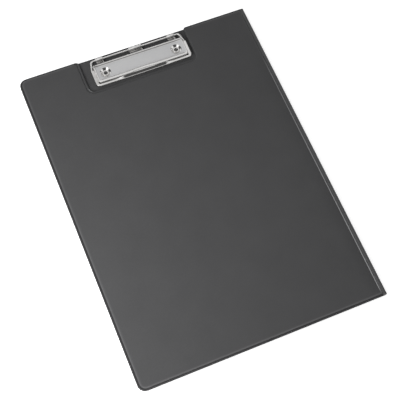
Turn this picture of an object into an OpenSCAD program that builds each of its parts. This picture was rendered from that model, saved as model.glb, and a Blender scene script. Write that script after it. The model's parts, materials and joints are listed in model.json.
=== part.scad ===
// Foldover clipboard for A4 sheets: two stiff boards welded into film, joined by a film spine,
// with a sprung wire clip riveted to the back board.
// X runs from the free edge to the spine, +Y to the clip's end, +Z up. The back lies on z = 0.

/* [Board] */
// Width over the closed spine
board_w = 235; // [215:1:330]
// Length from the bottom edge to the clip's end
board_l = 320; // [240:1:460]
// Radius of the two free corners
corner_r = 7; // [4:0.5:15]
// Thickness of the stiff core of the back
core_t = 2; // [1.5:0.1:4]
// Thickness of one film
skin_t = 0.3; // [0.2:0.05:0.4]
// Width of the flat welded rim outside the core
weld_w = 2.3; // [1.5:0.1:4]

/* [Cover] */
// Thickness of the stiff core of the cover
cover_core_t = 1.2; // [0.8:0.1:3]
// Air between the cover's free edge and the back
free_gap = 0.5; // [0.4:0.1:3]
// Air between the cover and the back along the spine
spine_gap = 1.5; // [1:0.1:8]
// Air between the clip's left side and the wall of the cover's notch
notch_left_gap = 8.05; // [2:0.05:20]
// Air between the clip's right side and the wall of the cover's notch
notch_right_gap = 4.45; // [2:0.05:20]
// Air between the notch's floor and the front of the clip
notch_front_gap = 3; // [1.5:0.1:12]
// Radius inside the notch's lower corners
notch_in_r = 5; // [2:0.5:12]
// Radius where the notch meets the top edge
notch_out_r = 3; // [1:0.5:8]

/* [Spine] */
// Width of the bare film between a core and its crease
band_w = 4; // [2:0.1:10]
// Radius of the bead that turns in each crease
bead_r = 0.45; // [0.42:0.01:0.8]
// Running gap round each bead
crease_gap = 0.08; // [0.02:0.01:0.1]

/* [Pocket] */
// Thickness of the pocket's film
pocket_t = 0.2; // [0.1:0.05:0.3]
// Height of the pocket at the free edge
pocket_low = 120; // [40:1:180]
// Height of the pocket at the spine edge
pocket_high = 190; // [60:1:195]
// Inset of the pocket from the cover's rim
pocket_inset = 1; // [0.5:0.25:10]

/* [Clip plate] */
// Width of the fixed plate
plate_w = 91.6; // [80:0.1:110]
// Sheet thickness of the fixed plate
plate_t = 0.8; // [0.6:0.1:1.2]
// From the board's top edge to the wire's axle
axle_inset = 4.6; // [3.5:0.1:12]
// From the axle to the plate's rear edge
plate_rear = 5.8; // [4.5:0.1:8]
// Air between the plate's front edge and the frame that swings past it
swing_gap = 0.4; // [0.3:0.05:2]
// Height of the plate's top above the board
plate_rise = 4.8; // [4:0.1:8]
// Radius of the plate's front corners
plate_front_r = 5; // [2:0.5:8]
// Radius of the plate's rear corners
plate_rear_r = 2; // [1:0.5:5]
// How far the folded skirt hangs below the plate's top
skirt_drop = 2.2; // [1:0.1:3]
// Width of the raised rim round the satin field
rim_w = 2.4; // [1:0.1:5]
// Depth of the satin field below the rim
field_depth = 0.25; // [0.1:0.05:0.4]
// Half width of the finger arch in the plate's front
arch_half = 14; // [12.5:0.5:25]
// Depth of the finger arch
arch_depth = 1.8; // [1:0.1:3]
// How far the arch's lip stands above the plate
arch_rise = 1; // [0.3:0.1:2]

/* [Eyelets] */
// From the plate's side edge to the middle of an eyelet
eyelet_edge = 9.35; // [8.8:0.05:18]
// From the wire's axle to the eyelets
eyelet_inset = 16.5; // [13.5:0.1:18]
// Radius of the hole through an eyelet
eyelet_bore_r = 1.8; // [1:0.05:2.2]
// Wall of an eyelet's barrel
eyelet_wall = 0.5; // [0.3:0.05:0.8]
// Overhang of the rolled head beyond the barrel
head_lip = 1.5; // [0.8:0.1:2]
// Height of the rolled head
head_t = 0.5; // [0.3:0.05:0.8]
// Overhang of the flared end beyond the barrel
flare_lip = 1.2; // [0.6:0.1:2]
// Thickness of the flared end
flare_t = 0.35; // [0.3:0.05:0.5]
// Outer radius of the washer under the flare
washer_r = 5; // [4.2:0.1:7]
// Thickness of the washer
washer_t = 0.6; // [0.4:0.05:0.9]
// Radius of the dish round each eyelet at the plate's top
dish_r = 7; // [6:0.1:7.5]
// Radius of the dish's flat floor
dish_floor_r = 4.3; // [4.2:0.1:5]

/* [Wire frame] */
// Diameter of the spring wire
wire_d = 2; // [1.6:0.1:2.4]
// Wall of the knuckles that hold the wire
knuckle_wall = 0.8; // [0.5:0.1:1]
// Width of the middle knuckle, where the wire's ends meet
mid_knuckle_w = 13; // [8:0.5:20]
// Width of each end knuckle
end_knuckle_w = 7.5; // [5:0.5:10]
// From the plate's side edge to the middle of an end knuckle
end_knuckle_edge = 8.6; // [7.5:0.1:14]
// Air between the plate's side and the wire's side arms
side_gap = 1.05; // [0.6:0.05:4]
// Length of the slanted legs along Y
leg_l = 8.4; // [7:0.1:12]
// How far the slanted legs spread sideways
leg_spread = 2.45; // [1:0.05:4]
// From the axle to the front run of the wire
wire_reach = 27; // [25:0.1:34]
// Bend radius at the rear corners
rear_bend_r = 2.6; // [2:0.1:4]
// Bend radius where a leg meets its arm
arm_bend_r = 4.2; // [2:0.1:6]
// Bend radius at the front corners
front_bend_r = 2.5; // [2:0.1:5]
// Gap between the wire's two ends
wire_end_gap = 0.3; // [0.1:0.1:2]

/* [Jaw] */
// Sheet thickness of the jaw
jaw_t = 0.35; // [0.25:0.05:0.5]
// How far the jaw's top covers the wire past its centre
jaw_cover = 0.3; // [0:0.05:0.8]
// Height of the jaw's corners above the wire's centre
jaw_corner_h = 0.4; // [0:0.1:0.9]
// Air between the closed jaw and the board
jaw_gap = 0.2; // [0.15:0.05:1]
// Half width of the thumb tab
tab_half = 11; // [6:0.5:12]
// Height of the thumb tab above the jaw's top
tab_rise = 1.6; // [0.8:0.1:2.5]
// How far the thumb tab leans back
tab_lean = 1.3; // [0.5:0.1:1.6]

/* [Hidden] */
$fn = 64;

pvc = [0.10, 0.10, 0.11];
grey_board = [0.62, 0.59, 0.54];
steel = [0.80, 0.81, 0.82];

slip = 0.05;                                   // gap between pieces that are slipped together
bend_overlap = 0.15;                           // how far a straight run reaches into a bend
bend_swell = 0.01;                             // how much thicker a bend is, in radius
free_x = -board_w / 2;                         // free edges of the back and the cover
crease_x = board_w / 2 - bead_r;               // both creases
core_free_x = free_x + weld_w + skin_t;        // free edges of both cores
core_spine_x = crease_x - band_w;              // spine edges of both cores
core_end_y = board_l / 2 - weld_w - skin_t;    // top and bottom edges of both cores
core_r = max(corner_r - weld_w - skin_t, 0.5); // their rounded corners
wall_r = core_r + skin_t;                      // the film that wraps them

back_top = core_t + 2 * skin_t;
cover_t = cover_core_t + 2 * skin_t;
low_crease_z = back_top / 2;
high_crease_z = back_top + spine_gap + cover_t / 2;
cover_reach = crease_x - free_x;
cover_tilt = asin((spine_gap - free_gap) / cover_reach); // the cover sinks towards its free edge

axle_y = board_l / 2 - axle_inset;
wire_r = wire_d / 2;
bore_r = wire_r + 0.08;                        // running fit of the wire in its knuckles
knuckle_r = bore_r + knuckle_wall;
axle_z = back_top + knuckle_r + slip;

jaw_in = wire_r + slip;                        // jaw faces, measured from the wire's centre
jaw_out = jaw_in + jaw_t;
jaw_front_z = back_top + jaw_gap + jaw_in;     // front run of the wire, closed
frame_tilt = asin((axle_z - jaw_front_z) / wire_reach);
arm_x = plate_w / 2 + side_gap + wire_r;
corner_x = arm_x - leg_spread;
jaw_side_x = arm_x + jaw_out;

plate_top = back_top + plate_rise;
plate_rear_y = axle_y - plate_rear;
swing_r = wire_reach - wire_r - swing_gap;     // what the front run clears as it swings up
plate_front_y = axle_y - sqrt(pow(swing_r, 2) - pow(plate_top - axle_z, 2));
eyelet_x = plate_w / 2 - eyelet_edge;
eyelet_y = axle_y - eyelet_inset;
end_knuckle_x = plate_w / 2 - end_knuckle_edge;
eyelet_r = eyelet_bore_r + eyelet_wall;
eyelet_hole_r = eyelet_r + slip;
arch_r = (pow(arch_half, 2) + pow(arch_depth, 2)) / (2 * arch_depth);
arch_back_y = plate_front_y + arch_depth;
lip_r = (pow(arch_half, 2) + pow(arch_rise, 2)) / (2 * arch_rise);

notch_floor_y = axle_y - wire_reach - jaw_out - notch_front_gap;
recess_z = flare_t + washer_t;                 // depth of the washer's seat in the back
recess_r = washer_r + 0.1;

// Outline from (x0, y0) to (x1, y1) with a round on each corner, in the order
// low left, low right, high right, high left. A radius of 0 leaves the corner square.
module outline(x0, y0, x1, y1, radii) {
  difference() {
    translate([x0, y0]) square([x1 - x0, y1 - y0]);
    corner_cut(x0, y0, 1, 1, radii[0]);
    corner_cut(x1, y0, -1, 1, radii[1]);
    corner_cut(x1, y1, -1, -1, radii[2]);
    corner_cut(x0, y1, 1, -1, radii[3]);
  }
}

// What a round of radius r takes off the corner at (x, y), whose inside lies towards (sx, sy)
module corner_cut(x, y, sx, sy, r) {
  if (r > 0)
    difference() {
      translate([x + (sx > 0 ? -1 : -r), y + (sy > 0 ? -1 : -r)]) square(r + 1);
      translate([x + sx * r, y + sy * r]) circle(r);
    }
}

// Outline of a board with two round free corners, grown outwards by grow from the core's edges
module panel_outline(grow, r) {
  outline(core_free_x - grow, -core_end_y - grow, core_spine_x + grow, core_end_y + grow, [r, 0, 0, r]);
}

// Full outline of a film, which runs on to the crease on the spine side
module film_outline() {
  outline(free_x, -board_l / 2, crease_x - bead_r, board_l / 2, [corner_r, 0, 0, corner_r]);
}

// One film drawn over half a core: a plate, a wall down the core's edge and a flat rim on the
// weld plane, which is z = 0. The plate lies above it.
module film_tray(half_t) {
  difference() {
    union() {
      linear_extrude(half_t) panel_outline(skin_t, wall_r);
      linear_extrude(skin_t) film_outline();
    }
    translate([0, 0, -1]) linear_extrude(half_t - skin_t + 1) panel_outline(0, core_r);
  }
}

// Round seat that a crease bead turns in
module crease_seat() {
  translate([0, -board_l / 2 - 1, 0]) rotate([-90, 0, 0]) cylinder(h = board_l + 2, r = bead_r + crease_gap);
}

// Places geometry drawn on the weld plane of the cover, hinged at the upper crease
module on_cover() {
  translate([crease_x, 0, high_crease_z]) rotate([0, -cover_tilt, 0]) translate([-crease_x, 0, 0]) children();
}

// The notch that clears the clip, grown outwards by grow into the cover
module notch_outline(grow) {
  left = -jaw_side_x - notch_left_gap - grow;
  right = jaw_side_x + notch_right_gap + grow;
  floor_y = notch_floor_y - grow;
  top_edge = board_l / 2 - grow;
  in_r = notch_in_r + grow;
  out_r = max(notch_out_r - grow, 0.4);
  difference() {
    translate([left, floor_y]) square([right - left, board_l / 2 - floor_y + 1]);
    corner_cut(left, floor_y, 1, 1, in_r);
    corner_cut(right, floor_y, -1, 1, in_r);
  }
  corner_cut(left, top_edge, -1, -1, out_r);
  corner_cut(right, top_edge, 1, -1, out_r);
}

// Back board ---------------------------------------------------------------------------------

module eyelet_pair_holes(r, z0, z1) {
  for (side = [-1, 1])
    translate([side * eyelet_x, eyelet_y, z0]) cylinder(h = z1 - z0, r = r);
}

module back_outer_skin() {
  color(pvc)
    difference() {
      translate([0, 0, low_crease_z]) mirror([0, 0, 1]) film_tray(low_crease_z);
      translate([crease_x, 0, low_crease_z]) crease_seat();
      eyelet_pair_holes(recess_r, -1, recess_z);
    }
}

module board_core() {
  color(grey_board)
    difference() {
      translate([0, 0, skin_t]) linear_extrude(core_t) panel_outline(0, core_r);
      eyelet_pair_holes(recess_r, -1, recess_z);
      eyelet_pair_holes(eyelet_hole_r, -1, back_top + 1);
    }
}

module back_liner() {
  color(pvc)
    difference() {
      translate([0, 0, low_crease_z]) film_tray(low_crease_z);
      translate([crease_x, 0, low_crease_z]) crease_seat();
      eyelet_pair_holes(eyelet_hole_r, low_crease_z, back_top + 1);
    }
}

// Clip, fixed pieces --------------------------------------------------------------------------

module plate_outline(inset) {
  front_r = max(plate_front_r - inset, 0.5);
  rear_r = max(plate_rear_r - inset, 0.5);
  outline(-plate_w / 2 + inset, plate_front_y + inset, plate_w / 2 - inset, plate_rear_y - inset,
    [front_r, front_r, rear_r, rear_r]);
}

// Upright round form whose edge is the arch's edge, moved back by back
module arch_cylinder(back, z0, z1) {
  translate([0, arch_back_y + back - arch_r, z0]) cylinder(h = z1 - z0, r = arch_r, $fn = 180);
}

// Lip along the finger arch, whose top rises in an arc towards the middle
module arch_lip() {
  low = plate_top - plate_t;
  high = plate_top + arch_rise;
  intersection() {
    difference() {
      translate([-arch_half, plate_front_y, low]) cube([2 * arch_half, arch_depth + plate_t, high - low]);
      arch_cylinder(0, low - 1, high + 1);
    }
    arch_cylinder(plate_t, low - 1, high + 1);
    translate([0, plate_front_y - 1, high - lip_r]) rotate([-90, 0, 0])
      cylinder(h = arch_depth + plate_t + 2, r = lip_r, $fn = 180);
  }
}

// Round dish that carries the plate on the board and seats an eyelet's head
module dish() {
  slope = (dish_r - dish_floor_r) / (plate_rise - plate_t);
  floor_z = back_top + plate_t;
  under_r = dish_floor_r - plate_t * slope;
  rotate_extrude()
    polygon([[eyelet_hole_r, back_top], [under_r + plate_t, back_top],
      [dish_r + plate_t, plate_top - plate_t], [dish_r + plate_t, plate_top],
      [dish_r, plate_top], [dish_floor_r, floor_z], [eyelet_hole_r, floor_z]]);
}

module knuckle_tab(x, w) {
  tangent_z = axle_z + knuckle_r;
  low = plate_top - plate_t;
  step = plate_rear / 2;
  translate([x - w / 2, 0, 0]) {
    rotate([90, 0, 90]) linear_extrude(w)
      polygon([[plate_rear_y - plate_t, low], [plate_rear_y - plate_t, plate_top],
        [plate_rear_y + plate_t / 2, plate_top], [plate_rear_y + step, tangent_z], [axle_y, tangent_z],
        [axle_y, tangent_z - plate_t], [plate_rear_y + step, tangent_z - plate_t], [plate_rear_y, low]]);
    translate([0, axle_y, axle_z]) rotate([0, 90, 0]) cylinder(h = w, r = knuckle_r);
  }
}

module clip_base_plate() {
  low = plate_top - plate_t;
  color(steel)
    difference() {
      union() {
        difference() {
          union() {
            translate([0, 0, low]) linear_extrude(plate_t) plate_outline(0);
            // skirt folded down round the front and both sides
            translate([0, 0, plate_top - skirt_drop])
              linear_extrude(skirt_drop)
                difference() {
                  plate_outline(0);
                  plate_outline(plate_t);
                  translate([-plate_w, plate_rear_y - plate_rear_r]) square([2 * plate_w, 2 * plate_rear_r]);
                }
          }
          translate([0, 0, plate_top - field_depth]) linear_extrude(1) plate_outline(rim_w);
          arch_cylinder(0, plate_top - skirt_drop - 1, plate_top + 1);
          eyelet_pair_holes(dish_r + plate_t / 2, low - 1, plate_top + 1);
        }
        arch_lip();
        for (side = [-1, 1]) {
          translate([side * eyelet_x, eyelet_y, 0]) dish();
          knuckle_tab(side * end_knuckle_x, end_knuckle_w);
        }
        knuckle_tab(0, mid_knuckle_w);
      }
      translate([-plate_w, axle_y, axle_z]) rotate([0, 90, 0]) cylinder(h = 2 * plate_w, r = bore_r);
    }
}

// Hollow eyelet: a rolled head in the dish, a barrel through the board, a flare under the washer
module eyelet() {
  head_z = back_top + plate_t;
  roll = head_t * 0.4;
  color(steel)
    rotate_extrude()
      polygon([[eyelet_bore_r, 0], [eyelet_r + flare_lip, 0], [eyelet_r + flare_lip, flare_t],
        [eyelet_r, flare_t], [eyelet_r, head_z], [eyelet_r + head_lip, head_z],
        [eyelet_r + head_lip, head_z + head_t - roll], [eyelet_r + head_lip - roll, head_z + head_t],
        [eyelet_bore_r + roll, head_z + head_t], [eyelet_bore_r, head_z + head_t - roll]]);
}

module eyelet_washer() {
  color(steel)
    translate([0, 0, flare_t])
      difference() {
        cylinder(h = washer_t, r = washer_r);
        translate([0, 0, -1]) cylinder(h = washer_t + 2, r = eyelet_hole_r);
      }
}

module eyelet_left() { translate([-eyelet_x, eyelet_y, 0]) eyelet(); }
module eyelet_right() { translate([eyelet_x, eyelet_y, 0]) eyelet(); }
module eyelet_washer_left() { translate([-eyelet_x, eyelet_y, 0]) eyelet_washer(); }
module eyelet_washer_right() { translate([eyelet_x, eyelet_y, 0]) eyelet_washer(); }

// Spine ----------------------------------------------------------------------------------------

module spine_bead(z) {
  translate([crease_x, -board_l / 2, z]) rotate([-90, 0, 0]) cylinder(h = board_l, r = bead_r);
}

module spine_outer_skin() {
  color(pvc)
    union() {
      spine_bead(low_crease_z);
      spine_bead(high_crease_z);
      translate([crease_x, -board_l / 2, low_crease_z])
        cube([skin_t, board_l, high_crease_z - low_crease_z]);
    }
}

module spine_liner() {
  low = low_crease_z + bead_r + slip;
  high = high_crease_z - bead_r - slip;
  color(pvc) translate([crease_x - skin_t, -board_l / 2, low]) cube([skin_t, board_l, high - low]);
}

// Cover ----------------------------------------------------------------------------------------

// One film of the cover over half its core, with the notch cut through and its wall left standing
module cover_tray() {
  half_t = cover_t / 2;
  difference() {
    union() {
      difference() {
        linear_extrude(half_t) panel_outline(skin_t, wall_r);
        translate([0, 0, -1]) linear_extrude(half_t + 2) notch_outline(weld_w);
      }
      linear_extrude(skin_t) film_outline();
    }
    difference() {
      translate([0, 0, -1]) linear_extrude(half_t - skin_t + 1) panel_outline(0, core_r);
      translate([0, 0, -2]) linear_extrude(half_t + 3) notch_outline(weld_w + skin_t);
    }
    translate([0, 0, -1]) linear_extrude(half_t + 2) notch_outline(0);
    translate([crease_x, 0, 0]) crease_seat();
  }
}

module front_outer_skin() {
  color(pvc) on_cover() cover_tray();
}

module front_core() {
  color(grey_board)
    on_cover()
      translate([0, 0, -cover_core_t / 2])
        linear_extrude(cover_core_t)
          difference() {
            panel_outline(0, core_r);
            notch_outline(weld_w + skin_t);
          }
}

module front_liner() {
  color(pvc) on_cover() mirror([0, 0, 1]) cover_tray();
}

module front_pocket() {
  x0 = core_free_x + pocket_inset;
  x1 = core_spine_x - pocket_inset;
  y0 = -core_end_y + pocket_inset;
  color(pvc)
    on_cover()
      translate([0, 0, -cover_t / 2 - pocket_t])
        linear_extrude(pocket_t)
          polygon([[x0, y0], [x1, y0], [x1, y0 + pocket_high], [x0, y0 + pocket_low]]);
}

// Clip, moving pieces ---------------------------------------------------------------------------

// Places geometry drawn flat about the axle, front towards -Y, at the closed frame's slope
module on_frame() {
  translate([0, axle_y, axle_z]) rotate([frame_tilt, 0, 0]) children();
}

function heading(a, b) = atan2(b[1] - a[1], b[0] - a[0]);
function wrap(a) = a > 180 ? a - 360 : a < -180 ? a + 360 : a;
function turn(p, i) = wrap(heading(p[i], p[i + 1]) - heading(p[i - 1], p[i]));
function setback(p, radii, i) =
  i == 0 || i == len(p) - 1 ? 0 : radii[i] * tan(abs(turn(p, i)) / 2);
function along(a, b, d) = a + (b - a) * d / norm(b - a);

// Round rod of radius r through the points p, bent to radii[i] at each inner point. The bends are
// a hair thicker than the straight runs, which reach into them, so that the rod is one piece.
module bent_rod(p, radii, r) {
  last = len(p) - 1;
  for (i = [0 : last - 1]) {
    skip = setback(p, radii, i) - (i > 0 ? bend_overlap : 0);
    stop = setback(p, radii, i + 1) - (i + 1 < last ? bend_overlap : 0);
    start = along(p[i], p[i + 1], skip);
    translate([start[0], start[1], 0])
      rotate([0, 90, heading(p[i], p[i + 1])]) cylinder(h = norm(p[i + 1] - p[i]) - skip - stop, r = r);
  }
  for (i = [1 : last - 1]) {
    t = turn(p, i);
    side = t > 0 ? 90 : -90;
    from = heading(p[i - 1], p[i]);
    foot = along(p[i], p[i - 1], setback(p, radii, i));
    centre = foot + radii[i] * [cos(from + side), sin(from + side)];
    translate([centre[0], centre[1], 0])
      rotate([0, 0, from - side + min(t, 0)])
        rotate_extrude(angle = abs(t)) translate([radii[i], 0]) circle(r + bend_swell, $fn = 32);
  }
}

leg_corner = [corner_x, 0];
arm_corner = [arm_x, -leg_l];
front_corner = [arm_x, -wire_reach];

module spring_wire() {
  right = [leg_corner, arm_corner, front_corner];
  bends = [rear_bend_r, arm_bend_r, front_bend_r];
  tip = [wire_end_gap / 2, 0];
  left_half = [for (q = concat([tip], right)) [-q[0], q[1]]];
  right_half = concat([for (i = [2 : -1 : 0]) right[i]], [tip]);
  radii = concat([0], bends, [for (i = [2 : -1 : 0]) bends[i]], [0]);
  color(steel) on_frame() bent_rod(concat(left_half, right_half), radii, wire_r);
}

// Rear end of the jaw's side walls, where the wire's arms begin
jaw_rear_y = -leg_l - setback([leg_corner, arm_corner, front_corner], [0, arm_bend_r, 0], 1);

// The wire's front run and arms in plan, grown outwards by grow, open towards the rear
module jaw_plan(grow, rear_y) {
  r = front_bend_r + grow;
  outline(-arm_x - grow, -wire_reach - grow, arm_x + grow, rear_y, [r, r, 0, 0]);
}

// Band of the jaw between two distances from the wire's centre
module jaw_band(inner, outer) {
  difference() {
    jaw_plan(outer, jaw_rear_y);
    jaw_plan(inner, jaw_rear_y + 1);
  }
}

// Sheet wall outside the wire whose top is folded in over it, lower round the corners, with a
// thumb tab that leans back in the middle
module jaw_channel() {
  tab_foot = jaw_out - slip;
  tab_top = jaw_out + tab_rise;
  color(steel)
    on_frame() {
      difference() {
        union() {
          translate([0, 0, -jaw_in]) linear_extrude(jaw_in + jaw_out) jaw_band(jaw_in, jaw_out);
          translate([0, 0, jaw_in]) linear_extrude(jaw_t) jaw_band(-jaw_cover, jaw_out);
        }
        for (side = [0, 1])
          mirror([side, 0, 0])
            translate([arm_x - front_bend_r, -wire_reach - 2 * jaw_out, jaw_corner_h])
              cube([front_bend_r + 2 * jaw_out, front_bend_r + 2 * jaw_out, 2 * jaw_out]);
      }
      translate([-tab_half, -wire_reach, 0]) rotate([90, 0, 90]) linear_extrude(2 * tab_half)
        polygon([[-jaw_t, tab_foot], [jaw_cover, tab_foot], [tab_lean, tab_top], [tab_lean - jaw_t, tab_top]]);
    }
}

back_outer_skin();
board_core();
back_liner();
clip_base_plate();
eyelet_left();
eyelet_right();
eyelet_washer_left();
eyelet_washer_right();
spine_outer_skin();
spine_liner();
front_outer_skin();
front_core();
front_liner();
front_pocket();
spring_wire();
jaw_channel();
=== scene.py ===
import json
import math

import bmesh
import bpy
import numpy as np
from mathutils import Matrix, Vector, noise
from mathutils.geometry import delaunay_2d_cdt

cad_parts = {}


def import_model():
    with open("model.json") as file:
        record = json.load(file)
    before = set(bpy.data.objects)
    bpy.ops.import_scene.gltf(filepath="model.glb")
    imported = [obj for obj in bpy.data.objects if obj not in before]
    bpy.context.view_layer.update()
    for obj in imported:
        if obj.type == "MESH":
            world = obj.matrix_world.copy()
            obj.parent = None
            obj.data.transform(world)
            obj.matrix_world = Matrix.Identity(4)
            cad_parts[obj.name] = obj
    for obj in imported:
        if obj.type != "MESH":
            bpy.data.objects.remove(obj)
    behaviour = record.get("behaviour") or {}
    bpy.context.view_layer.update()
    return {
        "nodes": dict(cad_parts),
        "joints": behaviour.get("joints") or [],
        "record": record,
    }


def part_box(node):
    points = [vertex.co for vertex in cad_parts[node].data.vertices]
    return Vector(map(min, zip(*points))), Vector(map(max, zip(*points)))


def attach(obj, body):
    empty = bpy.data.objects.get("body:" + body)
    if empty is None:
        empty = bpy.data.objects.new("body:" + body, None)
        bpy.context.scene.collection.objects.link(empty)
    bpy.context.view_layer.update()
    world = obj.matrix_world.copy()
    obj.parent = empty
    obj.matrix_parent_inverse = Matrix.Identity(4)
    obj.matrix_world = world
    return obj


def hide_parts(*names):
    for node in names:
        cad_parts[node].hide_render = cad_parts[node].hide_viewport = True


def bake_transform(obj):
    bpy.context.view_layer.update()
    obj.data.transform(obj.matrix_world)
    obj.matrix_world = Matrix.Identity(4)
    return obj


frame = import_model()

MM = 0.001  # lengths below are in millimetres and are scaled once, as a mesh is made

# Places read from the frame -------------------------------------------------------------------

JOINTS = {j["name"]: j for j in frame["joints"]}
MOUNTS = {m["name"]: m for m in frame["record"]["mounts"]}


def place(entry):
    return [value / MM for value in entry["pos_m"]]


def box_mm(node):
    low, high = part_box(node)
    return low / MM, high / MM


FREE_X = box_mm("back_outer_skin")[0].x
HALF_L = box_mm("back_outer_skin")[1].y
BACK_TOP = box_mm("back_liner")[1].z
CREASE_X, _, LOW_CREASE_Z = place(JOINTS["spine_fold"])
HIGH_CREASE_Z = place(JOINTS["cover_fold"])[2]
_, AXLE_Y, AXLE_Z = place(JOINTS["jaw_lift"])
EYELET_X, EYELET_Y, _ = place(MOUNTS["eyelet_bore_right"])
EYELETS = [(-EYELET_X, EYELET_Y), (EYELET_X, EYELET_Y)]

# Boards and films
SKIN = 0.3  # thickness of one film
WELD_W = 2.3  # flat welded rim
CORE_INSET = WELD_W + SKIN  # from the free edges to the core
FIELD_INSET = 4.5  # from the edges to the even field of a film
BACK_HALF = BACK_TOP / 2  # weld plane to the outer face of a film
COVER_HALF = 0.9
CORNER_R, SPINE_CORNER_R = 7, 0.2
CORE_SPINE_X = CREASE_X - 4
GROOVE_X = CORE_SPINE_X + 0.35  # where a board's film gives way to the spine's
COVER_TILT = math.asin(1.0 / (CREASE_X - FREE_X))
NOTCH_LEFT, NOTCH_RIGHT = -57.3, 52.0
NOTCH_FLOOR_Y = AXLE_Y - 31.4
NOTCH_IN_R, NOTCH_OUT_R = 5, 3
NOTCH_REACH, NOTCH_SIDE = 5, 2  # round the notch, where the rim's painted shade and painted highlight differ from the outer edges
END_SHARE, NOTCH_SHARE = 0.6, 0.4  # of the rim's width that shows at the ends, at the notch's right
RECESS_R = 5.1  # seat of a washer in the back
LOW_CORNERS = [(FREE_X, -HALF_L, CORNER_R), (GROOVE_X, -HALF_L, SPINE_CORNER_R),
               (GROOVE_X, HALF_L, SPINE_CORNER_R)]  # that both boards have, and their radii
RIM_PROFILE = [(0, 0), (0, 0.17), (0.05, 0.25), (0.14, 0.295), (0.5, 0.3), (0.95, 0.29), (1.1, 0.22),
               (1.3, 0.16), (1.6, 0.16), (1.78, 0.22)]  # inset and height, down into the weld line
WELD_LINE = (1, 1.8)  # insets of the pressed weld line
NOTCH_RIM_Z = 0.285  # height of the rim where there is no weld line, round the notch
SHOULDER = (1.85, 1.1)  # inset where the film rises from the rim to its field, and over what width
SHOULDER_STEPS = (1.88, 1.98, 2.1, 2.25, 2.4, 2.55, 2.7, 2.82, 2.95)
FLAT_STEPS = (3.05, 3.15, 3.3, 3.45, 3.6, 3.75, 3.9, 4.1, FIELD_INSET)
# How dark the film is painted along the outer edges, the notch's left edge and its other edges: partly
# the pressed weld's own darker tone, partly painted shade of the gap under a board's edge and of the
# clip over the notch
EDGE_SHADE, LINE_SHADE = (0.3, 0.05, 0.22), (1.0, 0.0, 0.12)  # outside the weld line and on it
LOOK_END = 2  # inset where it ends
HIGHLIGHT_START, HIGHLIGHT_STOP = (1.95, 0.5), (4.4, -1.2)  # insets where the painted highlight on the shoulder begins and ends
# strength of the painted highlight on the shoulders at the two ends and along the sides, and the length
# of the end zone
HIGHLIGHT_AT_ENDS, HIGHLIGHT_ASIDE, END_ZONE = 0.2, 0.09, 3.6
CURL = (NOTCH_LEFT + 0.6, NOTCH_FLOOR_Y + 2.6)  # painted highlight on the very edge of the notch's inner left corner
CURL_R, CURL_FADE, CURL_W, CURL_HIGHLIGHT = 2.9, 1.4, 0.6, 0.85
PUCKERS, SLOW_WAVES, SMALL_WAVES = (9, 0.06), (60, 0.05), (25, 0.02)  # length and depth
PUCKER_END = 4  # inset where the puckers of the shoulder end
FIELD_SPACING = 7.0
FILM_SHARP = 50  # degrees between faces that show as an edge

# Spine
SPINE_X = box_mm("spine_outer_skin")[1].x
SPINE_R = (HIGH_CREASE_Z - LOW_CREASE_Z) / 2
SPINE_SWELL, SWELL_FADE = 0.4, (3, 7)  # from the spine's two ends
BEND_GAP = 0.03  # keeps the swollen bend inside the object's size
WANDER = (12, 0.04)  # length and depth of the film's waves along the spine
SPINE_STEPS, SPINE_ROWS = 15, 81
SCORE_X, SCORE_DEPTH, SCORE_W = CORE_SPINE_X - 1.15, 0.24, 0.42
SCORE_START, SCORE_STOP = (3 - HALF_L, 6), (112, -35)  # along the spine
SCORE_HIGHLIGHT_START, SCORE_HIGHLIGHT_STOP = (-0.05, 0.2), (1.3, -0.3)  # across it; the painted highlight on the score's far wall
SCORE_INSET = 2.5  # the score begins this far inside the cover's edge

# Pocket
POCKET_MARGIN = 1  # to the rim and to the spine's groove
POCKET_L, POCKET_SLANT = 120, 70  # at its lowest side, and how much more at its highest
POCKET_T, POCKET_GAP, POCKET_SLACK = 0.14, 0.03, 0.10

# Clip
PLATE_HALF_W = 46.2
PLATE_TOP = BACK_TOP + 4.8
PLATE_REAR_Y = AXLE_Y - 5.4
PLATE_FRONT_Y = box_mm("clip_base_plate")[0].y - 0.7
PLATE_T = 0.8
PLATE_FRONT_R, PLATE_REAR_R = 3.6, 2
PLATE_INNER = 3.3  # from the plate's edges to its triangulated field
PLATE_ENDS = 4  # along a side, before the step back of the front begins and after it ends
FRONT_RIM_W, SIDE_RIM_W, REAR_RIM_W = 2.1, 1.4, 1.3
FIELD_DEPTH, FIELD_T = 0.5, 0.5
REAR_BEND_W, REAR_BEND = 4.6, 0.055  # width of the bend before the rear edge, and its curvature
SKIRT_DROP, SKIRT_FLARE = 2.2, 0.15
FRONT_BOW, BOW_HALF = 0.3, 40  # how far the front edge steps back to its ends, and half its length
ARCH_HALF, ARCH_DEPTH, ARCH_RISE, ARCH_REACH = 14, 1.0, -0.25, 4.9
DISH_R, DISH_FLOOR_R, DISH_STEPS = 5.4, 4.3, 56
BOWL_FLOOR_R, BOWL_FALL = 3.0, 1.75  # the dish as seen from above
HOLE_R = 2.35
BORE_R, BARREL_T, ROLL_R, BORE_LIP_R = 1.8, 0.5, 0.28, 0.35
FLARE = [(0, 0.36), (1.1, 0.35), (1.2, 0.22), (1.1, 0.05), (0.6, 0.0)]  # beyond the barrel, height
WASHER_R, WASHER_Z, WASHER_TOP = 5.0, 0.36, 0.95
WIRE_R = 1.0
KNUCKLE_R, KNUCKLE_ROLL = 1.88, (205, 478)  # outer radius, and degrees where the roll begins and ends
KNUCKLE_TAB = ((0, 0), (2.5, -0.9), (4.75, -1.7))  # its slope, from where it leaves the plate
KNUCKLES = [(-37.2, 7.5), (0, 13), (37.2, 7.5)]  # middle and width
ARM_X = 47.85
CORNER_X = 45.4
LEG_L = 8.4
REACH = 27
WIRE_END_X = 0.15  # the wire's two ends nearly meet in the middle knuckle
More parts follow.
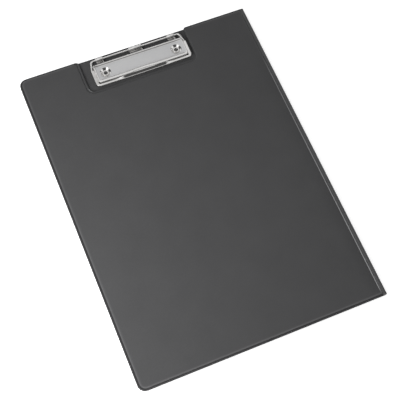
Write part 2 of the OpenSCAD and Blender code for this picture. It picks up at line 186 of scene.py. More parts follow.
REAR_BEND_R, ARM_BEND_R, FRONT_BEND_R = 2.6, 4.2, 2.5
FRAME_TILT = math.asin((AXLE_Z - 3.85) / REACH)
JAW_IN, JAW_OUT, JAW_BEND_R = 1.05, 1.4, 0.45
JAW_REAR = 9.0
FLAP_REACH, SIDE_REACH = 0.5, 0.6  # of the jaw's flap past the wire's middle, and more on the arms
STUB = 0.15  # of the flap, where it is cut short
SIDE_FALL = 12.5  # slope of the flap on the arms, down towards the plate
LIP_HALF, LIP_FADE = 30, 13  # half width of the thumb lip and of its rise from the flap
LIP_SLOPE, LIP_LENGTH, LIP_CURL = 42, 2.6, 0.6

MERGE = 1e-7  # metres between vertices that become one
LEAST_R = 0.12  # of a corner that is moved in
CLEARANCE = 0.55  # of the spacing, between a field's grid and its edges


# Mesh helpers ---------------------------------------------------------------------------------


def smooth_step(t):
    t = np.clip(t, 0, 1)
    return t * t * (3 - 2 * t)


def fade(value, start, width):
    """From 0 at start to 1 a width further on, or further back where the width is negative."""
    return smooth_step((value - start) / width)


def new_object(name, data):
    obj = bpy.data.objects.new(name, data)
    bpy.context.scene.collection.objects.link(obj)
    return obj


def mesh_object(name, verts, faces, material, body, sharp=40, masks=None):
    """A shown piece from vertices in millimetres, riding on a body."""
    mesh = bpy.data.meshes.new(name)
    mesh.from_pydata([tuple(float(c) * MM for c in v) for v in verts], [], faces)
    for key, values in (masks or {}).items():
        layer = mesh.attributes.new(key, "FLOAT", "POINT")
        layer.data.foreach_set("value", np.asarray(values, np.float32))
    bm = bmesh.new()
    bm.from_mesh(mesh)
    bmesh.ops.remove_doubles(bm, verts=bm.verts, dist=MERGE)
    bmesh.ops.recalc_face_normals(bm, faces=bm.faces)
    if bm.calc_volume(signed=True) < 0:
        bmesh.ops.reverse_faces(bm, faces=bm.faces)
    bm.to_mesh(mesh)
    bm.free()
    mesh.shade_smooth()
    mesh.set_sharp_from_angle(angle=math.radians(sharp))
    mesh.materials.append(material)
    obj = new_object(name, mesh)
    if body:
        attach(obj, body)
    return obj


class Build:
    """Gathers vertices and faces of one piece."""

    def __init__(self):
        self.verts, self.faces = [], []

    def add(self, points):
        start = len(self.verts)
        self.verts.extend([tuple(p) for p in points])
        return list(range(start, len(self.verts)))

    def bridge(self, a, b, closed=True):
        n = len(a)
        for i in range(n if closed else n - 1):
            j = (i + 1) % n
            self.faces.append((a[i], a[j], b[j], b[i]))

    def loft(self, rings, closed=True):
        for a, b in zip(rings, rings[1:]):
            self.bridge(a, b, closed)

    def tube(self, rings):
        """Rings joined in turn, with both ends closed."""
        self.loft(rings)
        self.faces += [tuple(rings[0]), tuple(rings[-1])]


def offset_loop(corners, insets, spacing=6.0, corner_steps=8):
    """Closed loop inside an outline of square corners, counter-clockwise. A corner is (x, y, radius),
    edge i runs from corner i to the next one, and insets[i] is how far it moves in."""
    n = len(corners)
    points = np.array([c[:2] for c in corners], float)
    run = np.roll(points, -1, 0) - points
    length = np.linalg.norm(run, axis=1)
    ahead = run / length[:, None]
    inward = np.stack([-ahead[:, 1], ahead[:, 0]], 1)
    moved, radius = [], []
    for i in range(n):
        a, b = ahead[i - 1], ahead[i]
        moved.append(points[i] + inward[i - 1] * insets[i - 1] + inward[i] * insets[i])
        turn = a[0] * b[1] - a[1] * b[0]
        mean = min(insets[i - 1], insets[i])
        radius.append(max(corners[i][2] - mean, LEAST_R) if turn > 0 else corners[i][2] + mean)
    loop = []
    for i in range(n):
        a, b, r = ahead[i - 1], ahead[i], radius[i]
        centre = moved[i] - a * r + b * r
        for k in range(corner_steps + 1):
            angle = math.pi / 2 * k / corner_steps
            loop.append(centre - b * r * math.cos(angle) + a * r * math.sin(angle))
        j = (i + 1) % n
        start, stop = moved[i] + b * r, moved[j] - ahead[i] * radius[j]
        count = max(int(length[i] / spacing), 1)
        loop.extend(start + (stop - start) * k / count for k in range(1, count))
    return np.array(loop)


def inside(points, loop):
    """Which of the points lie inside a closed loop."""
    x, y = points[:, 0], points[:, 1]
    found = np.zeros(len(points), bool)
    for (x0, y0), (x1, y1) in zip(loop, np.roll(loop, -1, 0)):
        if y0 != y1:
            crosses = (y0 > y) != (y1 > y)
            found ^= crosses & (x < (x1 - x0) * (y - y0) / (y1 - y0) + x0)
    return found


def clear_of(points, loop, distance):
    """Which of the points keep a distance from a closed loop."""
    keep = np.ones(len(points), bool)
    for a, b in zip(loop, np.roll(loop, -1, 0)):
        ab = b - a
        t = np.clip(((points - a) @ ab) / max(ab @ ab, 1e-12), 0, 1)
        keep &= np.linalg.norm(points - a - t[:, None] * ab, axis=1) > distance
    return keep


def triangulate(ring, holes, spacing):
    """Triangles that fill a ring around its holes over a grid of inner points. Returns the inner
    points and the triangles, numbered ring first, then each hole, then the inner points."""
    low, high = ring.min(0), ring.max(0)
    xs = np.arange(low[0] + spacing / 2, high[0], spacing)
    ys = np.arange(low[1] + spacing / 2, high[1], spacing)
    grid = np.array([(x, y) for x in xs for y in ys])
    keep = inside(grid, ring) & clear_of(grid, ring, spacing * CLEARANCE)
    for hole in holes:
        keep &= ~inside(grid, hole) & clear_of(grid, hole, spacing * CLEARANCE)
    grid = grid[keep]
    loops, edges, start = [ring, *holes], [], 0
    for loop in loops:
        edges += [(start + i, start + (i + 1) % len(loop)) for i in range(len(loop))]
        start += len(loop)
    given = np.concatenate([*loops, grid])
    out, _, faces, origin, _, _ = delaunay_2d_cdt([Vector(p) for p in given], edges, [], 0, 1e-5)
    number = [o[0] for o in origin]
    flat = np.array([p[:] for p in out])
    middle = np.array([flat[list(f)].mean(0) for f in faces])
    keep = inside(middle, ring)
    for hole in holes:
        keep &= ~inside(middle, hole)
    return grid, [tuple(number[i] for i in f) for f, k in zip(faces, keep) if k]


def circle(x, y, r, steps=40):
    turn = np.linspace(0, 2 * math.pi, steps, endpoint=False)
    return np.stack([x + r * np.cos(turn), y + r * np.sin(turn)], 1)


def headings(line):
    """Direction of a line at each of its points."""
    run = np.gradient(line, axis=0)
    return run / np.linalg.norm(run, axis=1)[:, None]


def ripple(points, scale, depth, seed):
    """Slow random heights over the plane."""
    return np.array([noise.noise((x / scale, y / scale, seed)) * depth for x, y in points])


# Boards ---------------------------------------------------------------------------------------


def narrow_inset(d, share):
    """Inset along an edge whose welded rim shows only a share of its width."""
    return d * share if d < CORE_INSET else d - (1 - share) * CORE_INSET


def board_loop(corners, d):
    """Outline of a board moved in by d, less where the welded rim is narrow."""
    insets = []
    for i, corner in enumerate(corners):
        following = corners[(i + 1) % len(corners)]
        at_end = abs(corner[1]) == HALF_L and corner[1] == following[1]
        beside_clip = corner[0] == following[0] == NOTCH_RIGHT
        share = END_SHARE if at_end else (NOTCH_SHARE if beside_clip else 1.0)
        insets.append(narrow_inset(d, share))
    insets[1] = narrow_inset(d, (GROOVE_X - CORE_SPINE_X) / CORE_INSET)
    return offset_loop(corners, insets)


def near_notch(loop):
    """Which points of a board's edge lie round the clip's notch."""
    x, y = loop[:, 0], loop[:, 1]
    beside = (x > NOTCH_LEFT - NOTCH_REACH) & (x < NOTCH_RIGHT + NOTCH_REACH)
    return beside & (y > NOTCH_FLOOR_Y - NOTCH_REACH) & (y < HALF_L - NOTCH_SIDE)


def weld_tone_and_shade(loop, d):
    """How dark the film is painted: full on the weld line along the outer edges, faint outside
    it and round the notch; partly the pressed weld's own darker tone, partly painted shade."""
    if d > LOOK_END:
        return np.zeros(len(loop))
    along_edges, at_left, at_rest = EDGE_SHADE if d < WELD_LINE[0] else LINE_SHADE
    round_notch = np.where(loop[:, 0] < NOTCH_LEFT + NOTCH_SIDE, at_left, at_rest)
    return np.where(near_notch(loop), round_notch, along_edges)


def painted_edge_highlight(loop, d):
    """Painted highlight, lighter film: on the shoulders along the outer edges, most of all at the two
    ends, and on the very edge in the notch's inner left corner."""
    highlighted = float(fade(d, *HIGHLIGHT_START) * fade(d, *HIGHLIGHT_STOP))
    painted_highlight = np.where(np.abs(loop[:, 1]) > HALF_L - END_ZONE, HIGHLIGHT_AT_ENDS, HIGHLIGHT_ASIDE)
    away = np.hypot(*(loop - CURL).T)
    curl = CURL_HIGHLIGHT * fade(away, CURL_R, -CURL_FADE) * (d < CURL_W)
    return np.where(near_notch(loop), curl, highlighted * painted_highlight)


def hinge_score(loop):
    """Depth of the score pressed into the cover beside the spine, and the painted highlight on its far
    wall.
    """
    across, y = loop[:, 0] - SCORE_X, loop[:, 1]
    share = fade(y, *SCORE_START) * fade(y, *SCORE_STOP) * (0.75 - y / 500)  # most at the lower end
    depth = SCORE_DEPTH * share * np.exp(-(across / SCORE_W) ** 2)
    return depth, share * fade(across, *SCORE_HIGHLIGHT_START) * fade(across, *SCORE_HIGHLIGHT_STOP)


def film(name, nodes, corners, half, up, holes, to_world, body, seed):
    """One film drawn over half a core, from its weld plane: a flat rim, a soft shoulder and an even
    field, closed by its inner face."""
    b = Build()
    core = half - SKIN
    shoulder = [(d, SKIN + core * float(fade(d, *SHOULDER))) for d in SHOULDER_STEPS]
    outer = RIM_PROFILE + shoulder + [(d, half) for d in FLAT_STEPS]
    inner = [(FIELD_INSET, core), (CORE_INSET, core), (CORE_INSET, 0)]
    rings, mask, highlight_marks = [], [], []
    covers = body == "cover" and up > 0

    def put(points, rim=0.0, painted_highlight=0.0):
        mask.extend(np.zeros(len(points)) + rim)
        highlight_marks.extend(np.zeros(len(points)) + painted_highlight)
        return b.add(points)

    for d, z in inner + outer:
        loop = board_loop(corners, d)
        heights = np.full(len(loop), float(z))
        if WELD_LINE[0] < d < WELD_LINE[1]:
            heights = np.where(near_notch(loop), NOTCH_RIM_Z, heights)
        if z > SKIN and d < PUCKER_END:
            heights -= np.abs(ripple(loop, *PUCKERS, seed)) * (z - SKIN) / core
        # painted highlight on the shoulders and the score's far wall, painted shade along the weld line
        painted_highlight = painted_edge_highlight(loop, d)
        if covers and d > SCORE_INSET:
            depth, slope = hinge_score(loop)
            heights -= depth
            painted_highlight = np.maximum(painted_highlight, slope)
        rings.append(put(np.column_stack([loop, heights]), weld_tone_and_shade(loop, d), painted_highlight))
    b.loft(rings)
    edge = board_loop(corners, FIELD_INSET)
    grid, triangles = triangulate(edge, holes, FIELD_SPACING)
    layers = []
    for z, ring in ((core, rings[0]), (half, rings[-1])):
        hole_rings = [put([(x, y, z) for x, y in hole]) for hole in holes]
        sink = np.abs(ripple(grid, *SLOW_WAVES, seed) + ripple(grid, *SMALL_WAVES, seed + 3))
        heights = z - sink * (1 if z == half else 0)
        rows = put(np.column_stack([grid, heights]))
        table = ring + [i for loop in hole_rings for i in loop] + rows
        b.faces += [tuple(table[i] for i in f) for f in triangles]
        layers.append(hole_rings)
    for low, high in zip(*layers):
        b.bridge(low, high)
    verts = to_world(np.array(b.verts) * (1, 1, up))
    # masks: the weld's own darker tone with painted shade, and the painted highlight
    masks = {"rim": mask, "painted_highlight": highlight_marks}
    piece = mesh_object(name, verts, b.faces, MATERIAL["film"], body, FILM_SHARP, masks)
    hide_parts(*nodes)


def on_back(v):
    return v + (0, 0, LOW_CREASE_Z)


def on_cover(v):
    x, z = v[:, 0] - CREASE_X, v[:, 2]
    s, c = math.sin(COVER_TILT), math.cos(COVER_TILT)
    return np.column_stack([CREASE_X + x * c - z * s, v[:, 1], HIGH_CREASE_Z + x * s + z * c])


def back_board():
    corners = [*LOW_CORNERS, (FREE_X, HALF_L, CORNER_R)]
    bores = [circle(x, y, HOLE_R) for x, y in EYELETS]
    seats = [circle(x, y, RECESS_R) for x, y in EYELETS]
    film("back_top_film", ["back_liner"], corners, BACK_HALF, 1, bores, on_back, "back", 1.0)
    film("back_under_film", ["back_outer_skin"], corners, BACK_HALF, -1, seats, on_back, "back", 2.0)


def cover_board():
    corners = [*LOW_CORNERS,
               (NOTCH_RIGHT, HALF_L, NOTCH_OUT_R), (NOTCH_RIGHT, NOTCH_FLOOR_Y, NOTCH_IN_R),
               (NOTCH_LEFT, NOTCH_FLOOR_Y, NOTCH_IN_R), (NOTCH_LEFT, HALF_L, NOTCH_OUT_R),
               (FREE_X, HALF_L, CORNER_R)]
    film("cover_outer_film", ["front_outer_skin"], corners, COVER_HALF, 1, [], on_cover, "cover", 3.0)
    film("cover_inner_film", ["front_liner"], corners, COVER_HALF, -1, [], on_cover, "cover", 4.0)


def spine_path(up, y):
    """Weld plane of the spine film from a board's groove round to its middle height, in X and Z,
    with the outward direction at each point. The film dips at the groove and swells beyond it, and
    lies flat at its welded ends."""
    middle, r = (LOW_CREASE_Z + HIGH_CREASE_Z) / 2, SPINE_R
    z = HIGH_CREASE_Z if up > 0 else LOW_CREASE_Z
    bend_x = SPINE_X - SKIN - r - BEND_GAP
    swell = float(fade(HALF_L - abs(y), *SWELL_FADE)) * (SPINE_SWELL if up > 0 else 0)
    path = []
    for t in np.linspace(0, 1, SPINE_STEPS)[:-1]:
        rise = 1.25 * float(smooth_step(t * 2.4)) - 0.25 - 0.25 * float(smooth_step(t * 2 - 1))
        path.append((GROOVE_X + (bend_x - GROOVE_X) * t, z + swell * rise))
    for k in range(SPINE_STEPS):
        a = math.pi / 2 * k / (SPINE_STEPS - 1)
        tall = r + 0.75 * swell * math.cos(a) ** 2
        path.append((bend_x + r * math.sin(a), middle + up * tall * math.cos(a)))
    path = np.array(path)
    ahead = headings(path)
    return path, np.stack([-ahead[:, 1], ahead[:, 0]], 1) * up


def spine_film(name, up, low, high, replaced):
    """Half of one of the spine's two films, between two distances from its weld plane."""
    b = Build()
    rings = []
    for y in np.linspace(-HALF_L, HALF_L, SPINE_ROWS):
        path, out = spine_path(up, y)
        wave = float(noise.noise((y / WANDER[0], up, 0.0)))
        wander = wave * WANDER[1] * min(1.0, (HALF_L - abs(y)) / 4)
        section = np.concatenate([path + out * (high + wander), (path + out * (low + wander))[::-1]])
        rings.append(b.add([(x, y, z) for x, z in section]))
    b.tube(rings)
    piece = mesh_object(name, b.verts, b.faces, MATERIAL["fold"], None, FILM_SHARP)
    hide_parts(replaced)
    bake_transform(piece)


def spine():
    lower, upper = ("back", "spine"), ("spine", "cover")
    for half, up, bodies in (("lower", -1, lower), ("upper", 1, upper)):
        spine_film(f"spine_outer_film_{half}", up, 0.0, SKIN, "spine_outer_skin")
        spine_film(f"spine_inner_film_{half}", up, -SKIN, 0.0, "spine_liner")


def pocket():
    """Slanted inner pocket on the cover: a film welded along three edges, slightly slack."""
    low, high = CORE_INSET + POCKET_MARGIN, CORE_SPINE_X - POCKET_MARGIN
    x0, x1, y0 = FREE_X + low, high, -HALF_L + low
    b = Build()
    columns, rows = 34, 30
    sides = []
    for depth in (0.0, 1.0):
        lines = []
        for j in range(rows + 1):
            v = j / rows
            line = []
            for i in range(columns + 1):
                u = i / columns
                x = x0 + (x1 - x0) * u
                y = y0 + (POCKET_L + POCKET_SLANT * u) * v
                slack = smooth_step(min(u, 1 - u) * 12) * smooth_step(v * 9)
                slack = POCKET_SLACK * float(slack) * (0.6 + 0.4 * v)
                line.append((x, y, -COVER_HALF - POCKET_GAP - depth * POCKET_T - slack))
            lines.append(b.add(line))
        sides.append(lines)
    for lines in sides:
        b.loft(lines, closed=False)
    for k in (0, -1):
        b.bridge(sides[0][k], sides[1][k], closed=False)
        b.bridge([line[k] for line in sides[0]], [line[k] for line in sides[1]], closed=False)
    verts = on_cover(np.array(b.verts))
    piece = mesh_object("cover_pocket", verts, b.faces, MATERIAL["pocket"], "cover")
    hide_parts("front_pocket")


# Clip -----------------------------------------------------------------------------------------


def arch(x):
    """How far the plate's front edge steps back at x, as a share of the arch's depth."""
    return np.clip(1 - (x / ARCH_HALF) ** 2, 0, 1)


def bow(x):
    """How far a bowed front edge lies behind its middle at x."""
    return FRONT_BOW * np.clip(np.abs(x) / BOW_HALF, 0, 1.05) ** 2


def plate_loop(d, flare=0.0):
    """Outline of the plate moved in by d, its sides flared out."""
    w, y0, y1 = PLATE_HALF_W, PLATE_FRONT_Y, PLATE_REAR_Y
    r0, r1 = PLATE_FRONT_R, PLATE_REAR_R
    corners = [(-w, y0, r0), (w, y0, r0), (w, y1, r1), (-w, y1, r1)]
    loop = offset_loop(corners, [d, d - flare, d, d - flare], spacing=1.6, corner_steps=10)
    front = fade(loop[:, 1], y1 - PLATE_ENDS, y0 - y1 + 2 * PLATE_ENDS)
    inner = 1 - 0.5 * float(smooth_step(d / 2.4))  # the bow is half as deep further in
    loop[:, 1] += front * inner * (bow(loop[:, 0]) + ARCH_DEPTH * arch(loop[:, 0]))
    return loop


def lip(points, d):
    """Rise of the plate's top along the arch, fading inwards."""
    front = points[:, 1] < PLATE_FRONT_Y + ARCH_DEPTH + ARCH_REACH
    rise = np.where(front, ARCH_RISE * arch(points[:, 0]), 0)
    return rise * float(1 - fade(d, 0.5, 2.2))


def plate_margins(x, y):
    """Distances of points from the plate's front, nearer side and rear edges."""
    front = PLATE_FRONT_Y + 0.5 * (bow(x) + ARCH_DEPTH * arch(x))
    return y - front, PLATE_HALF_W - np.abs(x), PLATE_REAR_Y - y


def top_height(points):
    """Height of the plate's top: a rim along the front and sides, a sunk field, a bend at the rear."""
    front, side, rear = plate_margins(points[:, 0], points[:, 1])
    front, side = front - FRONT_RIM_W, side - SIDE_RIM_W
    hollow = np.sin(np.clip((front - 0.5) / 4.2, 0, 1) * math.pi / 2)
    from_front = 0.75 * smooth_step(front / 1.2) + 0.25 * hollow  # a step, then a slow fall
    from_side = 0.4 * smooth_step(side / 0.7) + 0.6 * fade(side, 0.5, 5)
    bend = np.clip(REAR_BEND_W - rear, 0, REAR_BEND_W - REAR_RIM_W) ** 2 * REAR_BEND
    return PLATE_TOP - FIELD_DEPTH * from_front * from_side - bend


def dish(b, x, y, under):
    """Rings of one dish pressed into the plate, from its rim down to the hole: a shallow bowl
    above, and below it the foot that stands on the board."""
    if under:
        fall = PLATE_TOP - FIELD_DEPTH - FIELD_T - BACK_TOP
        bend, sunk = 0.3, 0.24  # the wall begins this far in and down
        wall = DISH_R - bend - DISH_FLOOR_R
        profile = [(DISH_R, 0), (DISH_R - 0.15, 0.05), (DISH_R - bend, sunk)]
        for t in (0.25, 0.5, 0.75, 1):
            profile.append((DISH_FLOOR_R + wall * (1 - t), sunk + (fall - 2 * sunk) * t))
        profile += [(DISH_FLOOR_R - 0.12, fall - 0.09), (DISH_FLOOR_R - 0.4, fall), (HOLE_R, fall)]
    else:
        fall = BOWL_FALL
        profile = []
        for t in np.linspace(0, 1, 15):
            r = DISH_R + (BOWL_FLOOR_R - DISH_R) * t
            profile.append((r, fall * (0.65 * t + 0.35 * float(smooth_step(t)))))
        profile[0] = (DISH_R, 0)
        profile[1:2] = [(DISH_R - 0.12, fall * 0.02), (DISH_R - 0.24, fall * 0.07)]
        profile += [(BOWL_FLOOR_R - 0.12, fall), (HOLE_R, fall)]
    rings = []
    rim = top_height(circle(x, y, DISH_R, DISH_STEPS))
    for r, z in profile:
        share = 1 - z / fall
        level = rim * share + (PLATE_TOP - FIELD_DEPTH) * (1 - share)
        heights = level - z - (FIELD_T if under else 0)
        rings.append(b.add(np.column_stack([circle(x, y, r, DISH_STEPS), heights])))
    b.loft(rings)
    return rings


def clip_plate():
    b = Build()
    skirt_start, arch_end = (PLATE_REAR_Y - 1.2, -2.4), (ARCH_HALF + 2, -3)

    def skirt(points):
        across, y = np.abs(points[:, 0]), points[:, 1]
        drop = PLATE_T + (SKIRT_DROP - PLATE_T) * fade(y, *skirt_start)
        drop = drop + PLATE_TOP - np.maximum(top_height(points), PLATE_TOP - FIELD_DEPTH)
        opened = fade(across, *arch_end) * (y < PLATE_FRONT_Y + ARCH_DEPTH + 0.5)
        return PLATE_TOP - (drop + (PLATE_T - drop) * opened)

    # inset from the edge, share of the sides' flare, height (None: along the skirt's foot)
    under = [(PLATE_INNER, 0, -FIELD_T), (2.4, 0, -0.7), (1.5, 0, -0.78), (PLATE_T + 0.1, 0, -0.8)]
    under += [(PLATE_T, 0.1, -0.95), (PLATE_T, 1, None)]
    top = [(0.0, 1, None), (0.0, 0.15, -0.75), (0.03, 0, -0.5), (0.12, 0, -0.27), (0.3, 0, -0.1)]
    top += [(0.55, 0, -0.02)] + [(d, 0, 0) for d in np.arange(0.9, PLATE_INNER + 0.05, 0.2)]
    rings = []
    for d, flare, z in under + top:
        loop = plate_loop(d, flare * SKIRT_FLARE)
        heights = skirt(loop) if z is None else top_height(loop) + z
        heights = heights + lip(loop, d) * (0.75 if z is None else 1)
        rings.append(b.add(np.column_stack([loop, heights])))
    b.loft(rings)
    rims = [circle(x, y, DISH_R, DISH_STEPS) for x, y in EYELETS]
    field, triangles = triangulate(plate_loop(PLATE_INNER), rims, 1.1)
    layers = []
    for under, ring in ((True, rings[0]), (False, rings[-1])):
        dishes = [dish(b, x, y, under) for x, y in EYELETS]
        rows = b.add(np.column_stack([field, top_height(field) - (FIELD_T if under else 0)]))
        table = ring + [i for rims in dishes for i in rims[0]] + rows
        b.faces += [tuple(table[i] for i in f) for f in triangles]
        layers.append([rims[-1] for rims in dishes])
    for low, high in zip(*layers):
        b.bridge(low, high)
    for x, w in KNUCKLES:
        knuckle(b, x, w)
    piece = mesh_object("clip_plate", b.verts, b.faces, MATERIAL["satin"], "back", 32)
    piece.data.materials.append(MATERIAL["nickel"])
    for face in piece.data.polygons:
        face.material_index = 0 if on_field(face) else 1
    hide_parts("clip_base_plate")


def on_field(face):
    """Whether a face of the plate lies on its satin field."""
    p = face.center / MM
    near = min(math.hypot(p.x - x, p.y - y) for x, y in EYELETS)
    above = face.normal.z > 0.8 and p.z > PLATE_TOP - FIELD_DEPTH - 0.6
    front, side, rear = plate_margins(p.x, p.y)
    inner = front > PLATE_INNER and side > SIDE_RIM_W and rear > PLATE_INNER
    return above and near > DISH_R - 0.1 and inner


def knuckle(b, x, w):
    """Tab that slopes from the plate's rear edge down behind the wire and rolls up over it."""
    mid_r = KNUCKLE_R - PLATE_T / 2
    y0, z0 = PLATE_REAR_Y - 1.3, PLATE_TOP - FIELD_DEPTH - 1.0
    controls = [Vector((y0 + y, z0 + z)) for y, z in KNUCKLE_TAB]
    controls.append(Vector((AXLE_Y - mid_r * 0.906, AXLE_Z - mid_r * 0.423)))  # where the roll begins
    path = []
    for t in np.linspace(0, 1, 17)[:-1]:
        weights = ((1 - t) ** 3, 3 * t * (1 - t) ** 2, 3 * t * t * (1 - t), t ** 3)
        point = sum((c * float(k) for c, k in zip(controls, weights)), Vector((0, 0)))
        path.append((point.x, point.y))
    path += arc(AXLE_Y, AXLE_Z, mid_r, *KNUCKLE_ROLL, 30)
    path = np.array(path)
    run = headings(path)
    normal = np.stack([-run[:, 1], run[:, 0]], 1)
    half = PLATE_T / 2 - 0.01
    ends = [(0, 0.62), (0.06, 0.86), (0.2, 1.0)]  # from a side, share of the full thickness
    widths = [(e - w / 2, share) for e, share in ends] + [(w / 2 - e, share) for e, share in ends[::-1]]
    rings = []
    for offset, share in widths:
        out = normal * half * share
        section = np.concatenate([path + out, (path - out)[::-1]])
        rings.append(b.add([(x + offset, y, z) for y, z in section]))
    b.loft(rings)
    count = len(path)
    for ring in (rings[0], rings[-1]):
        for i in range(count - 1):
            b.faces.append((ring[i], ring[i + 1], ring[2 * count - 2 - i], ring[2 * count - 1 - i]))


def lathe(b, section, x, y, steps=48):
    """Closed section of (radius, height) turned about an upright axis."""
    rings = []
    for k in range(steps):
        a = 2 * math.pi * k / steps
        rings.append(b.add([(x + r * math.cos(a), y + r * math.sin(a), z) for r, z in section]))
    for k in range(steps):
        b.bridge(rings[k], rings[(k + 1) % steps])


def arc(cx, cz, r, start, stop, steps):
    """Points of an arc, angles in degrees."""
    return [(cx + r * math.cos(math.radians(a)), cz + r * math.sin(math.radians(a)))
            for a in np.linspace(start, stop, steps + 1)]


def eyelets():
    head_z = PLATE_TOP - FIELD_DEPTH - BOWL_FALL
    barrel = BORE_R + BARREL_T
    section = [(BORE_R, 0.25)]
    section += arc(BORE_R + BORE_LIP_R, head_z + 0.15, BORE_LIP_R, 180, 90, 6)
    section += arc(BOWL_FLOOR_R - ROLL_R, head_z + ROLL_R, ROLL_R, 90, -90, 8)
    section += [(barrel, head_z), *((barrel + r, z) for r, z in FLARE)]
    section += [(BORE_R + 0.3, 0.02), (BORE_R + 0.08, 0.1)]
    r, low, high = WASHER_R, WASHER_Z, WASHER_TOP
    washer = [(HOLE_R, low), (r - 0.12, low), (r, 0.45), (r, 0.84), (r - 0.12, high), (HOLE_R, high)]
    for (x, y), side in zip(EYELETS, ("left", "right")):
        b = Build()
        lathe(b, section, x, y)
        piece = mesh_object(f"eyelet_{side}_turned", b.verts, b.faces, MATERIAL["nickel"], "back")
        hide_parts(f"eyelet_{side}")
        b = Build()
        lathe(b, washer, x, y)
        piece = mesh_object(f"washer_{side}_turned", b.verts, b.faces, MATERIAL["nickel"], "back")
        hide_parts(f"eyelet_washer_{side}")


def on_frame(v):
    """From the wire frame's own plane about the axle to the closed clip, its front run bowed."""
    v = np.array(v, float)
    v[:, 1] += smooth_step((-v[:, 1] - LEG_L) / (REACH - LEG_L)) * (0.8 * bow(v[:, 0]) - 0.1)
    s, c = math.sin(FRAME_TILT), math.cos(FRAME_TILT)
    x, y, z = v.T
    return np.column_stack([x, AXLE_Y + y * c - z * s, AXLE_Z + y * s + z * c])


def rounded_path(points, radii, step=6.0, straight=4.0):
    """Points along a line with round bends, and the direction at each of them."""
    points = [np.array(p, float) for p in points]
    path, heading = [], []

    def put(p, d):
        path.append(p)
        heading.append(d)

    previous = points[0]
    for i in range(1, len(points)):
        d = (points[i] - points[i - 1]) / np.linalg.norm(points[i] - points[i - 1])
        stop = points[i]
        if i < len(points) - 1:
            e = (points[i + 1] - points[i]) / np.linalg.norm(points[i + 1] - points[i])
            turn = math.atan2(d[0] * e[1] - d[1] * e[0], d @ e)
            back = radii[i] * math.tan(abs(turn) / 2)
            stop = points[i] - d * back
        count = max(int(np.linalg.norm(stop - previous) / straight), 1)
        for k in range(count + 1):
            put(previous + (stop - previous) * k / count, d)
        if i < len(points) - 1:
            side = np.array([-d[1], d[0]]) * math.copysign(1, turn)
            centre = stop + side * radii[i]
            bends = max(int(math.degrees(abs(turn)) / step), 2)
            for k in range(1, bends):
                a = turn * k / bends
                rot = np.array([[math.cos(a), -math.sin(a)], [math.sin(a), math.cos(a)]])
                put(centre + rot @ (stop - centre), rot @ d)
            previous = points[i] + e * back
    return np.array(path), np.array(heading)


def spring_wire():
    corner, arm, front = (CORNER_X, 0), (ARM_X, -LEG_L), (ARM_X, -REACH)
    half = [(WIRE_END_X, 0), corner, arm, front]
    radii = [0, REAR_BEND_R, ARM_BEND_R, FRONT_BEND_R]
    path, heading = rounded_path([(-x, y) for x, y in half] + half[::-1], radii + radii[::-1])
    b = Build()
    rings = []
    for p, d in zip(path, heading):
        out = np.array([d[1], -d[0]])
        ring = []
        for k in range(24):
            a = 2 * math.pi * k / 24
            flat = p + out * WIRE_R * math.cos(a)
            ring.append((flat[0], flat[1], WIRE_R * math.sin(a)))
        rings.append(b.add(ring))
    b.tube(rings)
    piece = mesh_object("clip_wire", on_frame(b.verts), b.faces, MATERIAL["nickel"], "jaw")
    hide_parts("spring_wire")


def jaw_section(flap, lift, side):
    """Section of the jaw's sheet about the wire: outward, up. Its flap covers the wire where flap is
    1 and is cut short where it is 0, rises into the thumb lip where lift is 1, and on the arms, where
    side is 1, slopes down towards the plate."""
    half = (JAW_OUT - JAW_IN) / 2
    fall = SIDE_FALL * side
    slope = LIP_SLOPE * lift - fall
    bend_r = JAW_BEND_R
    length = STUB + (JAW_OUT + FLAP_REACH - 0.6 + SIDE_REACH * side) * flap
    length += (LIP_LENGTH - FLAP_REACH - 1.05) * lift
    wall_top = JAW_OUT - half - bend_r - (1 - flap) - 0.25 * lift + 0.18 * side * flap
    wall_x = JAW_OUT - half + 0.1 * lift
    line = [(wall_x, -JAW_IN), (wall_x, wall_top * 0.3), (wall_x, wall_top)]
    for k in range(1, 8):
        a = math.radians((90 + fall) * k / 7)
        line.append((wall_x - bend_r * (1 - math.cos(a)), wall_top + bend_r * math.sin(a)))
    x, z = line[-1]
    line.append((x - 0.05 - 0.15 * lift, z - 0.05 * math.sin(math.radians(fall))))
    ux, uz = -math.cos(math.radians(slope)), math.sin(math.radians(slope))
    x, z = line[-1]
    line += [(x + ux * length * t, z + uz * length * t) for t in (0.33, 0.66, 1)]
    x, z = line[-1]
    curl = 0.05 + LIP_CURL * lift
    line += [(x - curl * t, z + curl * (t - t * t / 2) * uz * 0.6) for t in (0.3, 0.65, 1)]
    line = np.array(line)
    run = headings(line)
    out = np.stack([run[:, 1], -run[:, 0]], 1)
    tip, ahead = line[-1], run[-1]
    outer, inner = line + out * half, line - out * half
    turns = (0.5, 1.05, 1.57, 2.1, 2.6)  # radians round the sheet's edge
    nose = [tip + half * (ahead * math.sin(a) + out[-1] * math.cos(a)) for a in turns]
    return np.concatenate([outer, nose, inner[::-1]])


def jaw():
    rear, front, x = -JAW_REAR, -REACH, ARM_X
    corners = [(-x, rear), (-x, front), (x, front), (x, rear)]
    path, heading = rounded_path(corners, [0, FRONT_BEND_R, FRONT_BEND_R, 0], 9, 1.0)
    b = Build()
    rings = []
    for p, d in zip(path, heading):
        out = np.array([d[1], -d[0]])
        flap = float(fade(p[1], rear + 0.2, -0.8))
        lift = float(fade(abs(p[0]), LIP_HALF, -LIP_FADE)) * (p[1] < front + 0.5)
        rings.append(b.add([(*(p + out * u), z) for u, z in jaw_section(flap, lift, float(d[1]) ** 2)]))
    b.tube(rings)
    piece = mesh_object("clip_jaw", on_frame(b.verts), b.faces, MATERIAL["nickel"], "jaw", 35)
    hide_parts("jaw_channel")


# Materials ------------------------------------------------------------------------------------


